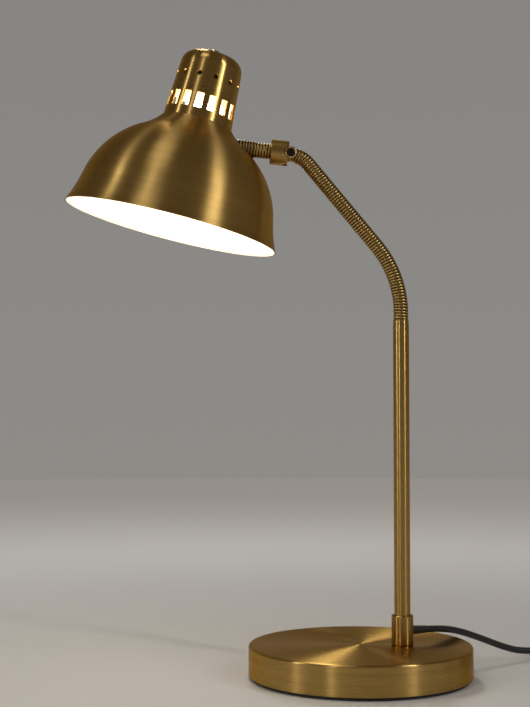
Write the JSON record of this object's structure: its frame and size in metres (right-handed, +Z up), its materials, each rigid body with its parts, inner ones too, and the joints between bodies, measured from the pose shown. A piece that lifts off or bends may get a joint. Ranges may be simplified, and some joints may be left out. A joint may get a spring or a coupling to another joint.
{
  "type": "dome shade desk lamp",
  "caption": "Aged brass desk lamp with a weighted round base, upright pole, gooseneck and a tilting dome shade with a vented cap.",
  "frame": {"origin": "centre of the underside of the base, on the desk", "axes": "+Z up, -X towards the shade, +Y away from the viewer of the picture"},
  "size_m": [0.514, 0.1978, 0.5102],
  "materials": {
    "brass": "aged and brushed",
    "bright_brass": "polished",
    "cast_iron": "as cast",
    "zinc_steel": "zinc plated",
    "dark_steel": "blackened",
    "rubber": "matte",
    "black_plastic": "matte",
    "pale_plastic": "moulded, white",
    "black_gloss": "satin",
    "black_sheath": "satin sheath",
    "lead_sheath": "smooth sheath",
    "glass": "opal"
  },
  "bodies": {
    "stand": {"base_pad": "rubber", "base_weight": "cast_iron", "base_shell": "brass", "base_nipple": "zinc_steel", "base_washer": "zinc_steel", "base_nut": "zinc_steel", "pole_collar": "brass", "collar_grub_screw": "dark_steel", "pole_tube": "brass", "pole_lead": "lead_sheath", "cord_relief": "black_plastic", "neck_ferrule": "brass", "neck_root": "brass", "cord_lamp_side": "black_sheath", "switch_lower": "black_gloss", "switch_upper": "black_gloss", "switch_screws": "zinc_steel", "cord_switch_side": "black_sheath", "cord_coil": "black_sheath", "cord_plug_side": "black_sheath", "plug_body": "black_plastic", "plug_pins": "zinc_steel"},
    "link_1": {"neck_link_1": "brass"},
    "link_2": {"neck_link_2": "brass"},
    "link_3": {"neck_link_3": "brass"},
    "link_4": {"neck_link_4": "brass"},
    "link_5": {"neck_link_5": "brass"},
    "neck_end": {"neck_tip": "brass", "neck_tongue": "brass"},
    "barrel": {"hinge_barrel": "brass", "barrel_cap": "brass", "hinge_cup_washer": "bright_brass", "hinge_screw": "dark_steel", "hinge_nut": "bright_brass"},
    "shade": {"swivel_nut": "zinc_steel", "arm_tube": "brass", "arm_coil": "brass", "arm_seat": "black_plastic", "arm_inner_seat": "black_plastic", "arm_inner_nut": "zinc_steel", "shade_dome": "brass", "vent_cap": "brass", "cap_finial": "bright_brass", "holder_stud": "zinc_steel", "holder_body": "pale_plastic", "holder_shell": "bright_brass", "bulb_screw_cap": "zinc_steel", "bulb_contact": "zinc_steel", "bulb_glass": "glass", "shade_lead": "lead_sheath"},
    "rocker": {"switch_rocker": "black_gloss"}
  },
  "joints": [
    {"name": "neck_bend_1", "type": "hinge", "parent": "stand", "child": "link_1", "pos_m": [0.03363, 0, 0.30149], "axis": [0, -1, 0], "range_deg": [-14, 14]},
    {"name": "neck_sway_1", "type": "hinge", "parent": "link_1", "child": "link_2", "pos_m": [0.02737, 0, 0.32662], "axis": [0.9229, 0, 0.3851], "range_deg": [-14, 14]},
    {"name": "neck_bend_2", "type": "hinge", "parent": "link_2", "child": "link_3", "pos_m": [0.01391, 0, 0.34875], "axis": [0, -1, 0], "range_deg": [-14, 14]},
    {"name": "neck_sway_2", "type": "hinge", "parent": "link_3", "child": "link_4", "pos_m": [-0.00263, 0, 0.36881], "axis": [0.7716, 0, 0.6361], "range_deg": [-14, 14]},
    {"name": "neck_bend_3", "type": "hinge", "parent": "link_4", "child": "link_5", "pos_m": [-0.01917, 0, 0.38888], "axis": [0, -1, 0], "range_deg": [-14, 14]},
    {"name": "neck_sway_3", "type": "hinge", "parent": "link_5", "child": "neck_end", "pos_m": [-0.03571, 0, 0.40894], "axis": [0.7716, 0, 0.6361], "range_deg": [-14, 14]},
    {"name": "shade_tilt", "type": "hinge", "parent": "neck_end", "child": "barrel", "pos_m": [-0.0556, 0, 0.42398], "axis": [0, -1, 0], "range_deg": [-60, 30]},
    {"name": "shade_swivel", "type": "hinge", "parent": "barrel", "child": "shade", "pos_m": [-0.0556, 0, 0.42398], "axis": [-0.9936, 0, 0.1132], "range_deg": [-165, 165]},
    {"name": "rocker_tip", "type": "hinge", "parent": "stand", "child": "rocker", "pos_m": [0.19427, 0.0792, 0.0095], "axis": [-0.342, 0.9397, 0], "range_deg": [-14, 0]}
  ],
  "couplings": [
    {"joint": "neck_bend_2", "follows": "neck_bend_1", "ratio": 1},
    {"joint": "neck_sway_2", "follows": "neck_sway_1", "ratio": 1},
    {"joint": "neck_bend_3", "follows": "neck_bend_1", "ratio": 1},
    {"joint": "neck_sway_3", "follows": "neck_sway_1", "ratio": 1}
  ]
}
